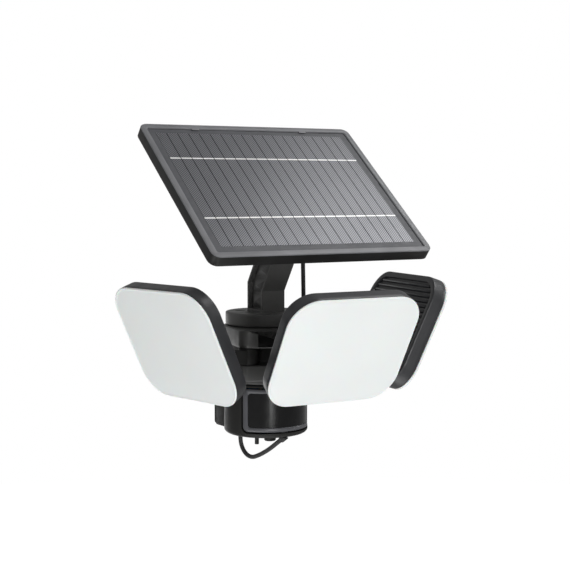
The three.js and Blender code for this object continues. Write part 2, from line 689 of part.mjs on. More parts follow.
function leadGland() {
  const start = -PANEL_THICKNESS - GAP - JUNCTION.depth - GAP;
  const sleeve = loft(
    [start - GLAND.low, circle(LEAD_RADIUS + 1.7, CLIP_X, JUNCTION.y, 20)],
    [start - 3, circle(GLAND.radius - 0.6, CLIP_X, JUNCTION.y, 20)],
    [start, circle(GLAND.radius, CLIP_X, JUNCTION.y, 20)],
  );
  return cut(sleeve, rod(LEAD_RADIUS + 0.9, start - 12, start - 2, CLIP_X, JUNCTION.y, 20));
}

// ---------------------------------------------------------------- lead and its clip

function leadClip() {
  const ring = rod(LEAD_RADIUS + 2.4, ...CLIP_HEIGHTS, CLIP_X, CLIP_Y, 24);
  const bar = box([CAP_RADIUS + GAP - 1.5, CLIP_X], [CLIP_Y - 1.5, CLIP_Y + 1.5], CLIP_HEIGHTS);
  return cut(
    join(ring, bar),
    rod(LEAD_RADIUS + 2 * GAP, CLIP_HEIGHTS[0] - 2, CLIP_HEIGHTS[1] + 2, CLIP_X, CLIP_Y, 24),
    rod(CAP_RADIUS + GAP, CLIP_HEIGHTS[0] - 2, CLIP_HEIGHTS[1] + 2, 0, AXIS_Y, 48),
  );
}

const UPPER_ROUTE = [
  [48.2, -44.8, 182.5],
  [48.2, -42.9, 180.2],
  [48.2, -41.2, 178.1],
  [48.2, -39.7, 175.2],
  [48.2, -39.1, 170.5],
  [48.2, -39.3, 155.0],
  [48.2, -39.9, 130.0],
  [48.2, -40.9, 105.0],
  [48.2, -41.7, 80.0],
  [48.2, -42.0, 66.0],
  [48.2, -42.0, 57.3],
];

const LOWER_ROUTE = [
  [48.2, -42.0, 57.0],
  [48.2, -41.9, 51.0],
  [46.6, -38.6, 44.5],
  [42.2, -31.2, 40.0],
  [35.5, -22.5, 38.4],
  [27.5, -14.8, 36.6],
  [22.6, -10.4, 32.4],
  [21.2, -9.3, 26.0],
  [17.4, -7.6, 10.0],
  [10.6, -6.2, -10.0],
  [3.4, -5.8, -28.0],
  [-1.0, -5.8, -41.0],
  [-1.8, -5.8, -52.0],
  [-1.8, -5.6, -66.0],
  [-1.7, -7.2, -73.0],
  [-1.4, -12.0, -78.8],
  [-0.9, -18.6, -82.0],
  [-0.5, -26.0, -82.3],
  [-0.2, -35.4, -79.5],
  [0, -49.3, -73.4],
  [0, -61.5, -67.0],
  [0, -72.0, -60.8],
  [0, -79.1, -56.7],
];

// ---------------------------------------------------------------- assembly

const light = new THREE.Group();

addPart(light, "wall_plate", wallPlate(), charcoal);
addPart(light, "rear_box", rearBox(), charcoal);
addPart(light, "sensor_housing", sensorHousing(), charcoal);
addPart(light, "neck_gasket", neckGasket(), rubber);
addPart(light, "hub_lower", hubLower(), charcoal);
addPart(light, "hub_upper", hubUpper(), charcoal);
addPart(light, "sensor_bezel", sensorBezel(), bezelGrey);
addPart(light, "sensor_window", sensorPane(), darkPane);
addPart(light, "pir_sensor", pirSensor(), steel);
addPart(light, "control_board", controlBoard(), green);
addPart(light, "battery_holder", batteryHolder(), charcoal);
for (const [side, x] of CELL_SIDES) {
  addPart(light, `battery_cell_${side}`, rod(CELL_RADIUS, ...CELL_HEIGHTS, x, CELL_Y, 28), wrap);
}
addPart(light, "power_button", powerButton(), charcoal);
addPart(light, "time_knob", timeKnob(), charcoal);
addPart(light, "dc_jack", dcJack(), rubber);
addPart(light, "dc_plug", dcPlug(), rubber);
addPart(light, "swivel_pin", swivelPin(), steel);

for (const head of HEADS) {
  light.add(lampHead(head));
}

addPart(light, "panel_cap", panelCap(), charcoal);
addPart(light, "panel_arm", panelArm(), charcoal);
addPart(light, "lead_clip", leadClip(), charcoal);
addPart(light, "hinge_bolt", hingeBolt(), steel);
addPart(light, "hinge_knob", hingeKnob(), charcoal);

const panel = new THREE.Group();
panel.position.set(...PANEL_CENTRE);
panel.rotation.x = slope;
addPart(panel, "panel_frame", panelFrame(), frameGrey);
addPart(panel, "solar_laminate", solarLaminate(), laminate);
addPart(panel, "panel_bracket", panelBracket(), charcoal);
addPart(panel, "junction_box", junctionBox(), charcoal);
addPart(panel, "lead_gland", leadGland(), rubber);
light.add(panel);

addPart(light, "lead_upper", lead(UPPER_ROUTE), rubber);
addPart(light, "lead_lower", lead(LOWER_ROUTE), rubber);

export default light;
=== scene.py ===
"""Looks of the solar flood light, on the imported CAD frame. Metres, unless a name ends in _MM."""
import json
import math

import bmesh
import bpy
from mathutils import Matrix, Vector

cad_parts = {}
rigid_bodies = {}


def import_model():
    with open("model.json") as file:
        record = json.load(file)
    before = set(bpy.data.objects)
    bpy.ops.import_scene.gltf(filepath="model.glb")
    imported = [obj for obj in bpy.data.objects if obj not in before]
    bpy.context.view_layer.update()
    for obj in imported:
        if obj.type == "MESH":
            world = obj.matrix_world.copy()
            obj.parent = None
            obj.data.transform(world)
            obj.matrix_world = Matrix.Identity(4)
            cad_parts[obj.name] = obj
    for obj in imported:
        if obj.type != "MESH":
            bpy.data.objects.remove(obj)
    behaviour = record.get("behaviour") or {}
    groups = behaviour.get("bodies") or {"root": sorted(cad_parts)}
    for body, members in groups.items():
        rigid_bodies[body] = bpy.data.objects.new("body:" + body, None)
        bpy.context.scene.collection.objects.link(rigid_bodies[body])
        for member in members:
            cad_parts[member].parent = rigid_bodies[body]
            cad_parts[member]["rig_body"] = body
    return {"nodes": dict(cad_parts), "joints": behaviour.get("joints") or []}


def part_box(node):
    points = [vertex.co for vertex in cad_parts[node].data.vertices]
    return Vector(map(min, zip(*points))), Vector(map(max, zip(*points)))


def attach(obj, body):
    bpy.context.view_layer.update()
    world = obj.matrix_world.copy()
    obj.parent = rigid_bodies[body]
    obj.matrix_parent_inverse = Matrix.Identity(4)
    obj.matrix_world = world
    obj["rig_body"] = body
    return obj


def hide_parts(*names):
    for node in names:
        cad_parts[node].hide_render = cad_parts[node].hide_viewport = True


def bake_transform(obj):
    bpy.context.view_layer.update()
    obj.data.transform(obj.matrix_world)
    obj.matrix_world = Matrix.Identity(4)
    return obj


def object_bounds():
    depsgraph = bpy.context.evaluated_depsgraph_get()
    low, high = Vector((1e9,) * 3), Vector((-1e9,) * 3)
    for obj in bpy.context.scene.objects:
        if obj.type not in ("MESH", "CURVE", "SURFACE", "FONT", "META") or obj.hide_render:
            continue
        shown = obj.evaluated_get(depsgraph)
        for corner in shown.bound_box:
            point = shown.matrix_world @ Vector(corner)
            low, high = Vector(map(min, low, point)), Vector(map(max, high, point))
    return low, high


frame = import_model()
cad_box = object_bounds()
NODES = frame["nodes"]
JOINTS = {joint["name"]: joint for joint in frame["joints"]}
BODY_OF = {name: node["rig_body"] for name, node in NODES.items()}
MM = 0.001
HEADS = ("left", "middle", "right")

# ---------------------------------------------------------------- camera

camera_data = bpy.data.cameras.new("camera")
camera_data.lens = 83.48
camera_data.sensor_width = 36
camera = bpy.data.objects.new("camera", camera_data)
camera.location = (-0.6418, -1.1171, 0.1781)
camera.rotation_euler = (math.radians(90 - 4.223), 0, math.radians(-31.886))
bpy.context.scene.collection.objects.link(camera)
bpy.context.scene.camera = camera

# ---------------------------------------------------------------- node-based materials


class Shader:
    """A material whose texture nodes are added by short calls."""

    def __init__(self, name, **values):
        self.material = bpy.data.materials.new(name)
        self.material.use_nodes = True
        self.tree = self.material.node_tree
        self.surface = self.tree.nodes["Principled BSDF"]
        self.place = self.tree.nodes.new("ShaderNodeTexCoord").outputs["Object"]
        for socket, value in values.items():
            self.surface.inputs[socket.replace("_", " ")].default_value = value

    def node(self, kind, inputs=None, **settings):
        made = self.tree.nodes.new(kind)
        for key, value in settings.items():
            setattr(made, key, value)
        for key, value in (inputs or {}).items():
            if isinstance(value, bpy.types.NodeSocket):
                self.tree.links.new(value, made.inputs[key])
            else:
                made.inputs[key].default_value = value
        return made

    def noise(self, size_mm, detail=3.0, roughness=0.55, place=None):
        """Noise whose blobs are about size_mm across."""
        return self.node("ShaderNodeTexNoise", {
            "Vector": place or self.place,
            "Scale": 1 / (size_mm * MM),
            "Detail": detail,
            "Roughness": roughness,
        }).outputs["Fac"]

    def stretch(self, scale):
        return self.node("ShaderNodeMapping", {"Vector": self.place, "Scale": scale}).outputs["Vector"]

    def remap(self, value, low, high, start=0.3, end=0.7):
        return self.node("ShaderNodeMapRange", {
            "Value": value, "From Min": start, "From Max": end, "To Min": low, "To Max": high,
        }).outputs["Result"]

    def math(self, operation, first, second=0.0):
        return self.node("ShaderNodeMath", {0: first, 1: second}, operation=operation).outputs["Value"]

    def mix(self, factor, low, high):
        made = self.node("ShaderNodeMix", {"Factor": factor}, data_type="RGBA")
        for socket, value in ((made.inputs[6], low), (made.inputs[7], high)):
            if isinstance(value, bpy.types.NodeSocket):
                self.tree.links.new(value, socket)
            else:
                socket.default_value = (*value, 1)
        return made.outputs[2]

    def color(self, socket):
        self.tree.links.new(socket, self.surface.inputs["Base Color"])

    def roughness(self, socket):
        self.tree.links.new(socket, self.surface.inputs["Roughness"])

    def bump(self, height, depth_mm, strength):
        inputs = {"Height": height, "Distance": depth_mm * MM, "Strength": strength}
        normal = self.node("ShaderNodeBump", inputs).outputs["Normal"]
        self.tree.links.new(normal, self.surface.inputs["Normal"])


def moulded_plastic(name, color, rough=(0.38, 0.52), grain_mm=0.35, grain_depth_mm=0.02, gloss=0.3):
    """Injection-moulded plastic: spark-eroded grain, faint flow marks and a little handling shine."""
    made = Shader(name, Specular_IOR_Level=gloss)
    flow = made.noise(38, detail=2)
    handling = made.noise(9, detail=4)
    lighter = [min(1, c * 1.22 + 0.002) for c in color]
    made.color(made.mix(made.remap(flow, 0, 1), [c * 0.9 for c in color], lighter))
    made.roughness(made.remap(handling, *rough))
    made.bump(made.noise(grain_mm, detail=2), grain_depth_mm, 0.6)
    return made.material


def milky_diffuser():
    made = Shader("milky_diffuser", Specular_IOR_Level=0.35, Subsurface_Weight=0.15, Subsurface_Scale=0.003)
    cloud = made.noise(70, detail=1)
    made.color(made.mix(made.remap(cloud, 0, 1), (0.762, 0.788, 0.779), (0.786, 0.811, 0.802)))
    made.roughness(made.remap(made.noise(12, detail=2), 0.3, 0.38))
    made.bump(made.noise(1.0, detail=1), 0.0015, 0.5)
    return made.material


def dark_pane():
    made = Shader("sensor_pane", Specular_IOR_Level=0.3)
    made.color(made.mix(made.remap(made.noise(14), 0, 1), (0.004, 0.004, 0.0042), (0.006, 0.006, 0.0064)))
    made.roughness(made.remap(made.noise(6, detail=4), 0.2, 0.25))
    made.bump(made.noise(3, detail=1), 0.004, 0.3)
    return made.material


def cell_silicon(up_slope):
    """Dark silicon under a sheet whose fine embossed lines run diagonally over the panel."""
    made = Shader("cell_silicon", Metallic=0.55)
    angle = math.radians(HATCH_DEG)
    across = Vector((1, 0, 0)) * math.cos(angle) - up_slope * math.sin(angle)
    product = made.node("ShaderNodeVectorMath", {0: made.place, 1: across}, operation="DOT_PRODUCT")
    along = product.outputs["Value"]
    wave = made.math("SINE", made.math("MULTIPLY", along, 2 * math.pi / (HATCH_PITCH_MM * MM)))
    ridge = made.remap(wave, 0, 1, -0.4, 0.9)
    grain = made.remap(made.noise(40, detail=1), 0, 1)
    dark = made.mix(grain, (0.056, 0.057, 0.064), (0.066, 0.068, 0.076))
    made.color(made.mix(ridge, dark, (0.20, 0.203, 0.216)))
    made.roughness(made.remap(made.noise(20, detail=1), 0.3, 0.33))
    made.bump(wave, 0.004, 0.5)
    return made.material


def busbar_silver():
    made = Shader("busbar_silver", Metallic=0.1, Coat_Weight=0.5, Coat_Roughness=0.15)
    made.color(made.mix(made.remap(made.noise(2.5), 0, 1), (0.72, 0.72, 0.70), (0.86, 0.86, 0.85)))
    made.roughness(made.remap(made.noise(1.2), 0.3, 0.5))
    return made.material


def back_sheet(name, low, high, gloss=0.35):
    made = Shader(name, Specular_IOR_Level=gloss)
    made.color(made.mix(made.remap(made.noise(30), 0, 1), low, high))
    made.roughness(made.remap(made.noise(5), 0.42, 0.55))
    made.bump(made.noise(0.7), 0.012, 0.4)
    return made.material


def flexible_rubber():
    made = Shader("rubber", Specular_IOR_Level=0.4)
    made.color(made.mix(made.remap(made.noise(6), 0, 1), (0.018, 0.018, 0.018), (0.032, 0.032, 0.033)))
    made.roughness(made.remap(made.noise(2, detail=4), 0.5, 0.68))
    made.bump(made.noise(0.3, detail=2), 0.02, 0.5)
    return made.material


def zinc_steel():
    made = Shader("zinc_steel", Metallic=1.0)
    streak = made.noise(1.5, detail=4, place=made.stretch((1, 1, 6)))
    made.color(made.mix(made.remap(streak, 0, 1), (0.42, 0.42, 0.43), (0.62, 0.62, 0.64)))
    made.roughness(made.remap(streak, 0.25, 0.42))
    made.bump(streak, 0.01, 0.4)
    return made.material


def circuit_board(name, color, mask):
    made = Shader(name, Roughness=0.4)
    speck = made.noise(1.4, detail=5)
    made.color(made.mix(made.remap(speck, 0, 1, 0.5, 0.55), color, mask))
    made.bump(speck, 0.03, 0.4)
    return made.material


HATCH_DEG = 50.6  # of the cell sheet's embossed lines, from the panel's width
HATCH_PITCH_MM = 1.6

CHARCOAL = moulded_plastic("charcoal_plastic", (0.013, 0.013, 0.0124), rough=(0.42, 0.56), gloss=0.2)
# painted light: the hub colour is the charcoal plastic painted about three times lighter, to offset the shade
# the hub pieces and neck gasket sit in between the heads
HUB_PAINTED_LIGHTER = moulded_plastic("hub_painted_lighter", (0.040, 0.040, 0.0385), rough=(0.4, 0.54), gloss=0.55)
# painted light: the mast colour is the charcoal plastic painted about six times lighter, to offset the shade
# the cap, bracket and arm sit in under the panel
MAST_PAINTED_LIGHTER = moulded_plastic("mast_painted_lighter", (0.075, 0.075, 0.0725), rough=(0.4, 0.54), gloss=0.6)
HEAD_SHELL = moulded_plastic("head_shell", (0.0235, 0.024, 0.0262), rough=(0.32, 0.42), gloss=0.45)
PANEL_SIDE = moulded_plastic("panel_grey", (0.0125, 0.0125, 0.0122), rough=(0.34, 0.46), gloss=0.25)
# painted light: the rim grey is the frame's dark plastic painted about ten times lighter, for the rim faces
# that look up out of the glass
PANEL_RIM_PAINTED_LIT = moulded_plastic("panel_rim_painted_lit", (0.132, 0.134, 0.142), rough=(0.36, 0.48), gloss=0.4)
BEZEL = moulded_plastic("bezel_grey", (0.072, 0.073, 0.080), rough=(0.3, 0.42), gloss=0.45)
DIFFUSER = milky_diffuser()
PANE = dark_pane()
SILVER = busbar_silver()
SHEET = back_sheet("back_sheet", (0.062, 0.063, 0.070), (0.078, 0.079, 0.087))
DARK_SHEET = back_sheet("dark_sheet", (0.008, 0.008, 0.009), (0.012, 0.012, 0.013), gloss=0.08)
RUBBER = flexible_rubber()
STEEL = zinc_steel()
BOARD = circuit_board("board", (0.02, 0.15, 0.06), (0.5, 0.42, 0.2))
LED_BOARD = circuit_board("white_board", (0.78, 0.78, 0.76), (0.9, 0.85, 0.5))
WRAP = moulded_plastic("cell_wrap", (0.04, 0.16, 0.35), rough=(0.2, 0.3))
# ---------------------------------------------------------------- mesh helpers

WELD_MM = 0.02
FLAT_DEG = 0.6  # neighbouring faces closer than this become one
SOFT_SHARP_DEG = 40

def new_piece(name, mesh, body, slot, *materials, replaced=()):
    """Links a mesh as a piece of the object that rides on a body and stands for CAD nodes."""
    piece = bpy.data.objects.new(name, mesh)
    bpy.context.scene.collection.objects.link(piece)
    for material in materials:
        mesh.materials.append(material)
    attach(piece, body)
    if replaced:
        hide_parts(*replaced)
    return piece


def to_mesh(name, work, smooth_deg=32):
    mesh = bpy.data.meshes.new(name)
    bmesh.ops.recalc_face_normals(work, faces=work.faces)
    work.to_mesh(mesh)
    work.free()
    mesh.shade_smooth()
    mesh.set_sharp_from_angle(angle=math.radians(smooth_deg))
    return mesh


def bake_modifiers(piece):
    """Replaces the piece's mesh by what its modifiers make of it."""
    graph = bpy.context.evaluated_depsgraph_get()
    made = bpy.data.meshes.new_from_object(piece.evaluated_get(graph))
    piece.modifiers.clear()
    piece.data = made


def soften(piece, width_mm, segments=2, angle_deg=28):
    """Rounds every edge sharper than angle_deg."""
    bevel = piece.modifiers.new("edges", "BEVEL")
    bevel.width = width_mm * MM
    bevel.segments = segments
    bevel.limit_method = "ANGLE"
    bevel.angle_limit = math.radians(angle_deg)
    bevel.use_clamp_overlap = True
    bevel.harden_normals = False
    bake_modifiers(piece)
    piece.data.shade_smooth()
    piece.data.set_sharp_from_angle(angle=math.radians(SOFT_SHARP_DEG))
    return piece


def fine_copy(node, material, slot, width_mm, segments=2):
    """A rounded-edge copy of a CAD node, which it stands for."""
    work = bmesh.new()
    work.from_mesh(NODES[node].data)
    bmesh.ops.remove_doubles(work, verts=work.verts, dist=WELD_MM * MM)
    bmesh.ops.dissolve_limit(work, angle_limit=math.radians(FLAT_DEG), verts=work.verts, edges=work.edges)
    mesh = to_mesh(f"{node}_shell", work)
    piece = new_piece(mesh.name, mesh, BODY_OF[node], slot, material, replaced=[node])
    return soften(piece, width_mm, segments)


def paint_node(node, material):
    """Gives a CAD node that stays in view a better material."""
    materials = NODES[node].data.materials
    materials.clear()
    materials.append(material)


def round_rect(width, height, radius, centre=(0, 0), corner_steps=10, edge_steps=1):
    """Counter-clockwise outline of a rectangle with round corners, its straight edges in edge_steps."""
    points = []
    corners = ((1, 1, 0), (-1, 1, 90), (-1, -1, 180), (1, -1, 270))
    for side_x, side_y, start in corners:
        for step in range(corner_steps + 1):
            angle = math.radians(start + 90 * step / corner_steps)
            points.append((
                centre[0] + side_x * (width / 2 - radius) + radius * math.cos(angle),
                centre[1] + side_y * (height / 2 - radius) + radius * math.sin(angle),
            ))
    if edge_steps == 1:
        return points
    dense = []
    for index, (x, y) in enumerate(points):
        after = points[(index + 1) % len(points)]
        steps = edge_steps if (index + 1) % (corner_steps + 1) == 0 else 1
        dense += [(x + (after[0] - x) * k / steps, y + (after[1] - y) * k / steps) for k in range(steps)]
    return dense


def loft(work, rings, closed=False):
    """Quads between rings of equal length; closed joins the last to the first, open caps both ends."""
    loops = [[work.verts.new(point) for point in ring] for ring in rings]
    count = len(loops[0])
    after = loops[1:] + loops[:1] if closed else loops[1:]
    for low, high in zip(loops, after):
        for i in range(count):
            j = (i + 1) % count
            work.faces.new((low[i], low[j], high[j], high[i]))
    if not closed:
        work.faces.new(loops[0][::-1])
        work.faces.new(loops[-1])


def lathe(work, profile, centre, segments):
    """Turns a closed profile of (radius, height) about a vertical axis."""
    rings = []
    for radius, height in profile:
        rings.append([
            (centre[0] + radius * math.cos(2 * math.pi * i / segments),
             centre[1] + radius * math.sin(2 * math.pi * i / segments), height)
            for i in range(segments)
        ])
    loft(work, rings, closed=True)


def subtract(piece, cutter_mesh):
    cutter = bpy.data.objects.new("cutter", cutter_mesh)
    bpy.context.scene.collection.objects.link(cutter)
    boolean = piece.modifiers.new("cut", "BOOLEAN")
    boolean.object = cutter
    boolean.operation = "DIFFERENCE"
    boolean.solver = "EXACT"
    bake_modifiers(piece)
    bpy.data.objects.remove(cutter)


# ---------------------------------------------------------------- leads

LEAD_RADIUS = 2.1 * MM
UPPER_ROUTE_MM = [
    (48.2, -44.8, 182.5), (48.2, -42.9, 180.2), (48.2, -41.2, 178.1), (48.2, -39.7, 175.2),
    (48.2, -39.1, 170.5), (48.2, -39.3, 155.0), (48.2, -39.9, 130.0), (48.2, -40.9, 105.0),
    (48.2, -41.7, 80.0), (48.2, -42.0, 66.0), (48.2, -42.0, 57.3),
]
LOWER_ROUTE_MM = [
    (48.2, -42.0, 57.0), (48.2, -41.9, 51.0), (46.6, -38.6, 44.5), (42.2, -31.2, 40.0),
    (35.5, -22.5, 38.4), (27.5, -14.8, 36.6), (22.6, -10.4, 32.4), (21.2, -9.3, 26.0),
    (17.4, -7.6, 10.0), (10.6, -6.2, -10.0), (3.4, -5.8, -28.0), (-1.0, -5.8, -41.0),
    (-1.8, -5.8, -52.0), (-1.8, -5.6, -66.0), (-1.7, -7.2, -73.0), (-1.4, -12.0, -78.8),
    (-0.9, -18.6, -82.0), (-0.5, -26.0, -82.3), (-0.2, -35.4, -79.5), (0.0, -49.3, -73.4),
    (0.0, -61.5, -67.0), (0.0, -72.0, -60.8), (0.0, -79.1, -56.7),
]


def smooth_route(points, step=2 * MM):
    """Points about `step` apart on a centripetal Catmull-Rom curve through the given ones."""
    given = [Vector(p) * MM for p in points]
    ends = [given[0] * 2 - given[1]] + given + [given[-1] * 2 - given[-2]]
    route = []
    for p0, p1, p2, p3 in zip(ends, ends[1:], ends[2:], ends[3:]):
        t1 = (p1 - p0).length ** 0.5
        t2 = t1 + (p2 - p1).length ** 0.5
        t3 = t2 + (p3 - p2).length ** 0.5
        count = max(2, round((p2 - p1).length / step))
        for k in range(count):
            t = t1 + (t2 - t1) * k / count
            a1 = p0 * ((t1 - t) / t1) + p1 * (t / t1)
            a2 = p1 * ((t2 - t) / (t2 - t1)) + p2 * ((t - t1) / (t2 - t1))
            a3 = p2 * ((t3 - t) / (t3 - t2)) + p3 * ((t - t2) / (t3 - t2))
            b1 = a1 * ((t2 - t) / t2) + a2 * (t / t2)
            b2 = a2 * ((t3 - t) / (t3 - t1)) + a3 * ((t - t1) / (t3 - t1))
            route.append(b1 * ((t2 - t) / (t2 - t1)) + b2 * ((t - t1) / (t2 - t1)))
    return route + [given[-1]]


def tube_mesh(name, route, radius, sides=16):
    """A round tube along a route, carried along without twist."""
    work = bmesh.new()
    across = Vector((1, 0, 0))
    rings = []
    for index, point in enumerate(route):
        ahead = route[min(index + 1, len(route) - 1)] - route[max(index - 1, 0)]
        ahead.normalize()
        across = (across - ahead * across.dot(ahead)).normalized()
        up = ahead.cross(across)
        turns = [2 * math.pi * k / sides for k in range(sides)]
        rings.append([point + (across * math.cos(turn) + up * math.sin(turn)) * radius for turn in turns])
    loft(work, rings)
    return to_mesh(name, work)


def make_lead(name, node, points, bodies, start, end):
    """A round rubber lead along the points, in place of the CAD node; it rides on no body, and bodies, start
    and end are not used.
    """
    route = smooth_route(points)
    mesh = tube_mesh(name, route, LEAD_RADIUS)
    mesh.materials.append(RUBBER)
    piece = bpy.data.objects.new(name, mesh)
    bpy.context.scene.collection.objects.link(piece)
    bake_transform(piece)
    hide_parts(node)


# where a lead was to stop following its first body and start following its second; make_lead does not use
# them
UPPER_BEND = ((0.0482, -0.042, 0.066), (0.0482, -0.0412, 0.178))
LOWER_BEND = ((0.0482, -0.02, 0.036), (0.0482, -0.042, 0.053))

make_lead("upper_lead", "lead_upper", UPPER_ROUTE_MM, ("panel_turret", "solar_panel"), *UPPER_BEND)
make_lead("lower_lead", "lead_lower", LOWER_ROUTE_MM, ("root", "panel_turret"), *LOWER_BEND)

# ---------------------------------------------------------------- lamp heads

ARC_SLACK_MM = 0.4  # the looks' lens is this much smaller than the CAD one
HEAD_CORNER_MM = 26.5
SMALLEST_CORNER_MM = 1.5


class HeadFrame:
    """Millimetre frame of one lamp head: x across, y up the plate, z out of the lens, from the tilt pin."""

    def __init__(self, name):
        joint = JOINTS[f"{name}_tilt"]
        lens = NODES[f"{name}_diffuser_lens"].data
        origin = Vector(joint["pos_m"])
        across = Vector(joint["axis"]).normalized()
        normal = max(lens.polygons, key=lambda face: face.area).normal.copy()
        middle = sum((v.co for v in lens.vertices), Vector()) / len(lens.vertices)
        if normal.dot(middle - origin) < 0:
            normal.negate()
        normal = (normal - across * normal.dot(across)).normalized()
        up = normal.cross(across)
        self.matrix = Matrix.Translation(origin) @ Matrix((across, up, normal)).transposed().to_4x4()
        self.matrix = self.matrix @ Matrix.Scale(MM, 4)
        back = self.matrix.inverted()
        local = [back @ v.co for v in lens.vertices]
        self.width = max(p.x for p in local) - min(p.x for p in local) - ARC_SLACK_MM
        self.height = max(p.y for p in local) - min(p.y for p in local) - ARC_SLACK_MM
        self.rise = (max(p.y for p in local) + min(p.y for p in local)) / 2
        self.body = BODY_OF[f"{name}_diffuser_lens"]

    def ring(self, inset, z):
        corner = max(HEAD_CORNER_MM - inset, SMALLEST_CORNER_MM)
        outline = round_rect(self.width - 2 * inset, self.height - 2 * inset, corner,
                             (0, self.rise), corner_steps=12)
        return [self.matrix @ Vector((x, y, z)) for x, y in outline]

    def points(self, triples):
        return [self.matrix @ Vector(point) for point in triples]


# [inset, height] of the shell from the middle of its tray, over the front edge and round to the back field
SHELL_PROFILE_MM = [
    (3.2, 17.2), (3.2, 24.6), (2.8, 25.0), (0.7, 25.0), (0.2, 24.8), (0.0, 24.3),
    (0.3, 21.0), (0.7, 17.5), (1.05, 14.3), (1.15, 13.5), (1.35, 12.95), (1.8, 12.6), (2.4, 12.5),
    (6.3, 12.5), (6.65, 12.62), (6.85, 13.0), (6.95, 14.4), (7.2, 15.0), (7.9, 15.2),
]
# [inset, height] of the lens from its back edge over the rim to the middle
LENS_PROFILE_MM = [
    (0.4, 25.3), (0.1, 25.45), (0.0, 25.8), (0.0, 26.5), (0.12, 26.95), (0.45, 27.22), (0.9, 27.32),
    (1.35, 27.25), (1.7, 27.05), (2.4, 27.02), (4.0, 27.1), (7.0, 27.28), (12.0, 27.55), (18.0, 27.8),
    (26.0, 28.02),
    (36.0, 28.15), (46.0, 28.2),
]
RIB_PITCH_MM = 5.0
RIB_RADIUS_MM = 1.6
RIB_FLOOR_MM = 15.2
RIB_CREST_MM = 12.6
RIB_FOOT_MM = 0.3  # how far a rib reaches into the floor
FIELD_INSET_MM = 8.1
FIELD_CORNER_MM = 18.0
EAR_SPANS_MM = ((-14.6, -9.8), (9.8, 14.6))
EAR_RADIUS_MM = 8
EAR_FOOT_MM = (9.2, 13.4)  # half length and height of an ear's foot
PAD_SIZE_MM = (38, 24)
PAD_CORNER_MM = 3
PAD_HEIGHTS_MM = (12.45, 15.4)


def field_half_width(head, y):
    """Half the rib field's width at height y, inside its round corners."""
    half_w = head.width / 2 - FIELD_INSET_MM
    half_h = head.height / 2 - FIELD_INSET_MM
    over = abs(y - head.rise) - (half_h - FIELD_CORNER_MM)
    if over <= 0:
        return half_w
    return half_w - FIELD_CORNER_MM + math.sqrt(max(FIELD_CORNER_MM ** 2 - over ** 2, 0))


def add_rib(work, head, y):
    """One rounded cooling rib with domed ends, standing on the field's floor."""
    half = field_half_width(head, y)
    ends = [(RIB_RADIUS_MM * (1 - math.cos(math.radians(a))) - half, math.sin(math.radians(a)))
            for a in (6, 30, 60, 90)]
    rings = []
    for x, size in ends + [(-x, size) for x, size in reversed(ends)]:
        half = RIB_RADIUS_MM * size
        rise = (RIB_FLOOR_MM - RIB_CREST_MM) * size
        arch = [(y + half * math.cos(a), RIB_FLOOR_MM - rise * math.sin(a))
                for a in map(math.radians, range(0, 181, 30))]
        foot = [(y - half, RIB_FLOOR_MM + RIB_FOOT_MM), (y + half, RIB_FLOOR_MM + RIB_FOOT_MM)]
        rings.append(head.points([(x, py, pz) for py, pz in arch + foot]))
    loft(work, rings)


def add_ear(work, head, low, high):
    """A hinge ear: a round eye on the tilt pin with a web to the back face."""
    eye = [(EAR_RADIUS_MM * math.sin(a), EAR_RADIUS_MM * math.cos(a))
           for a in map(math.radians, range(90, 271, 10))]
    length, height = EAR_FOOT_MM
    profile = eye + [(-length, height), (length, height)]
    loft(work, [head.points([(x, y, z) for y, z in profile]) for x in (low, high)])


def make_head(name):
    head = HeadFrame(name)
    shell = bmesh.new()
    loft(shell, [head.ring(inset, z) for inset, z in SHELL_PROFILE_MM])
    rows = int((head.height - 2 * FIELD_INSET_MM) // RIB_PITCH_MM) + 1
    for row in range(rows):
        add_rib(shell, head, head.rise + (row - (rows - 1) / 2) * RIB_PITCH_MM)
    new_piece(f"{name}_head_shell", to_mesh("shell", shell), head.body, "charcoal_plastic", HEAD_SHELL,
              replaced=[f"{name}_head_housing"])
    ears = bmesh.new()
    for span in EAR_SPANS_MM:
        add_ear(ears, head, *span)
    pad = round_rect(*PAD_SIZE_MM, PAD_CORNER_MM)
    loft(ears, [head.points([(x, y, z) for x, y in pad]) for z in PAD_HEIGHTS_MM])
    ears_mesh = to_mesh("ears", ears)
    soften(new_piece(f"{name}_head_ears", ears_mesh, head.body, "charcoal_plastic", HEAD_SHELL), 0.5)
    lens = bmesh.new()
    loft(lens, [head.ring(inset, z) for inset, z in LENS_PROFILE_MM])
    new_piece(f"{name}_lens", to_mesh("lens", lens, 50), head.body, "milky_diffuser", DIFFUSER,
              replaced=[f"{name}_diffuser_lens"])
    fine_copy(f"{name}_head_arm", CHARCOAL, "charcoal_plastic", 0.5)
    fine_copy(f"{name}_tilt_pin", STEEL, "steel", 0.25)
    fine_copy(f"{name}_pan_pin", STEEL, "steel", 0.25)
    paint_node(f"{name}_led_board", LED_BOARD)


for head_name in HEADS:
    make_head(head_name)

# ---------------------------------------------------------------- sensor body

AXIS = (0.0, -0.051)
BODY_WALL_MM = 2.8
ROOF_MM = 2.4
WELL_RADIUS_MM = 31
# how far in from the body's radius, and how far below its top or above its bottom
SHOULDER_MM = [(1.2, 0), (0.4, 0.35), (0, 1.2)]
FOOT_MM = [(0, 4), (0.5, 2.6), (1.8, 1.3), (3.4, 0.45), (5, 0)]
LATHE_CENTRE_MM = 0.01
OPENING_MM = (1.3, 6.4)  # growth beyond the bezel, and corner radius
BORES_MM = (("power_button", -1.2), ("time_knob", -3.0), ("dc_jack", 0.3))  # bore beyond the piece's radius
BEZEL_CORNER_MM = 5.2
WINDOW_CORNER_MM = 2.8
PANE_CORNER_MM = 2.6
SLICE_MM = 2  # width of the flat slices that follow the body's curve
SLICES = 24  # on each side of the front


